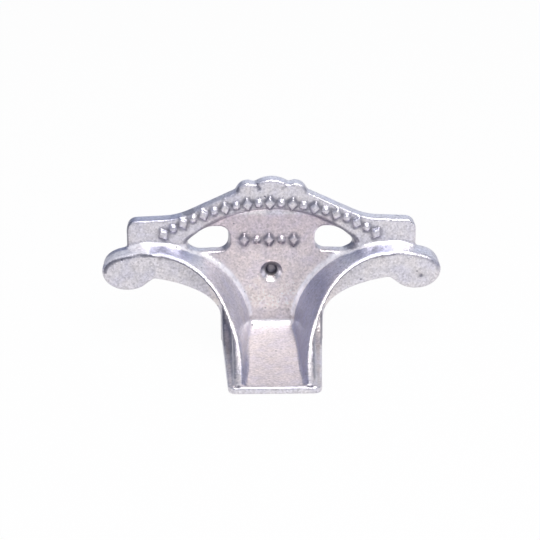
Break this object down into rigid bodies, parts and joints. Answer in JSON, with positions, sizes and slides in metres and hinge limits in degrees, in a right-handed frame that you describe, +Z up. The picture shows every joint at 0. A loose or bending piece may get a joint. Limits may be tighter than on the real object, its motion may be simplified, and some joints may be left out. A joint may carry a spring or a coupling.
{
  "type": "roof snow guard",
  "caption": "Cast roof snow guard: an upright scalloped plate with windows and lobed wings, braced by flaring ribs on a flat foot, with a countersunk screw hole.",
  "frame": {"origin": "on the underside of the foot, below the middle of the plate's front face", "axes": "+X along the plate, +Y from the toe of the foot to the back of the plate, +Z up off the roof"},
  "size_m": [0.1346, 0.068, 0.0652],
  "materials": {
    "casting": "bright as-cast aluminium with a fine sand grain"
  },
  "bodies": {
    "root": {"guard_casting": "casting"}
  },
  "joints": []
}
